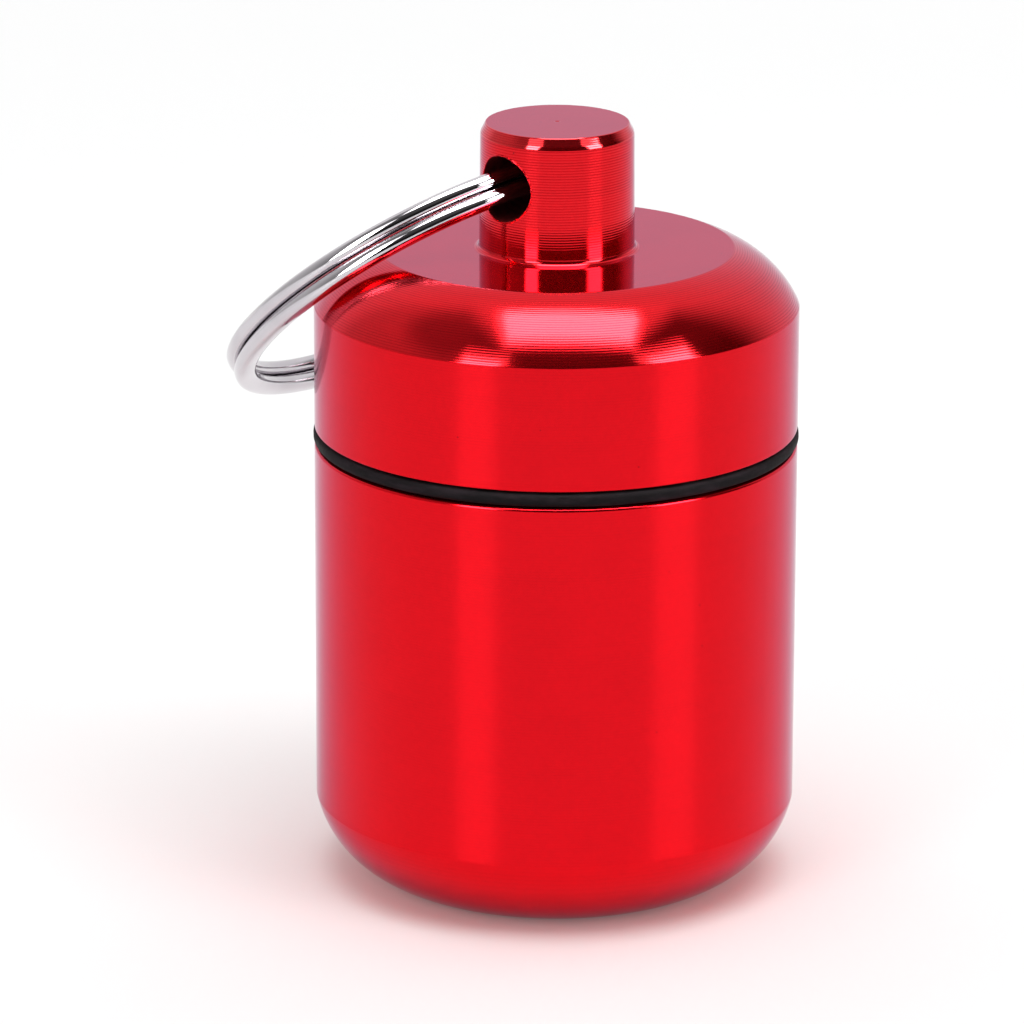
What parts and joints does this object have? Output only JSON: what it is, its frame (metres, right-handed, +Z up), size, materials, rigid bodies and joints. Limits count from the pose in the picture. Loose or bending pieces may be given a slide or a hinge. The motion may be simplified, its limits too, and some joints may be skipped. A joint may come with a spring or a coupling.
{
  "type": "screw-top pill canister",
  "caption": "Small round metal canister with a screw cap, a rubber seal between the rims and a split key ring through the cap's knob.",
  "frame": {"origin": "middle of the flat base of the canister", "axes": "+Z up along the turning axis; the cross hole of the knob runs along Y and the key ring hangs towards -X"},
  "size_m": [0.0373, 0.03, 0.0482],
  "materials": {
    "canister_metal": "polished, dyed red and anodised",
    "cap_metal": "fine turned lines, dyed red and anodised",
    "seal_rubber": "satin black",
    "ring_steel": "bright nickel plate"
  },
  "bodies": {
    "canister": {"canister_body": "canister_metal"},
    "seal": {"o_ring": "seal_rubber"},
    "cap": {"screw_cap": "cap_metal"},
    "key_ring": {"split_key_ring": "ring_steel"}
  },
  "joints": [
    {"name": "cap_turn", "type": "hinge", "parent": "canister", "child": "seal", "pos_m": [0, 0, 0.02895], "axis": [0, 0, 1], "range_deg": [0, 1800]},
    {"name": "cap_climb", "type": "slide", "parent": "seal", "child": "cap", "axis": [0, 0, 1], "range_m": [0, 0.0075]},
    {"name": "ring_swing", "type": "hinge", "parent": "cap", "child": "key_ring", "pos_m": [0, 0, 0.04475], "axis": [0, 1, 0], "range_deg": [0, 251.7]}
  ],
  "couplings": [
    {"joint": "cap_climb", "follows": "cap_turn", "m_per_rad": 0.00023873}
  ]
}
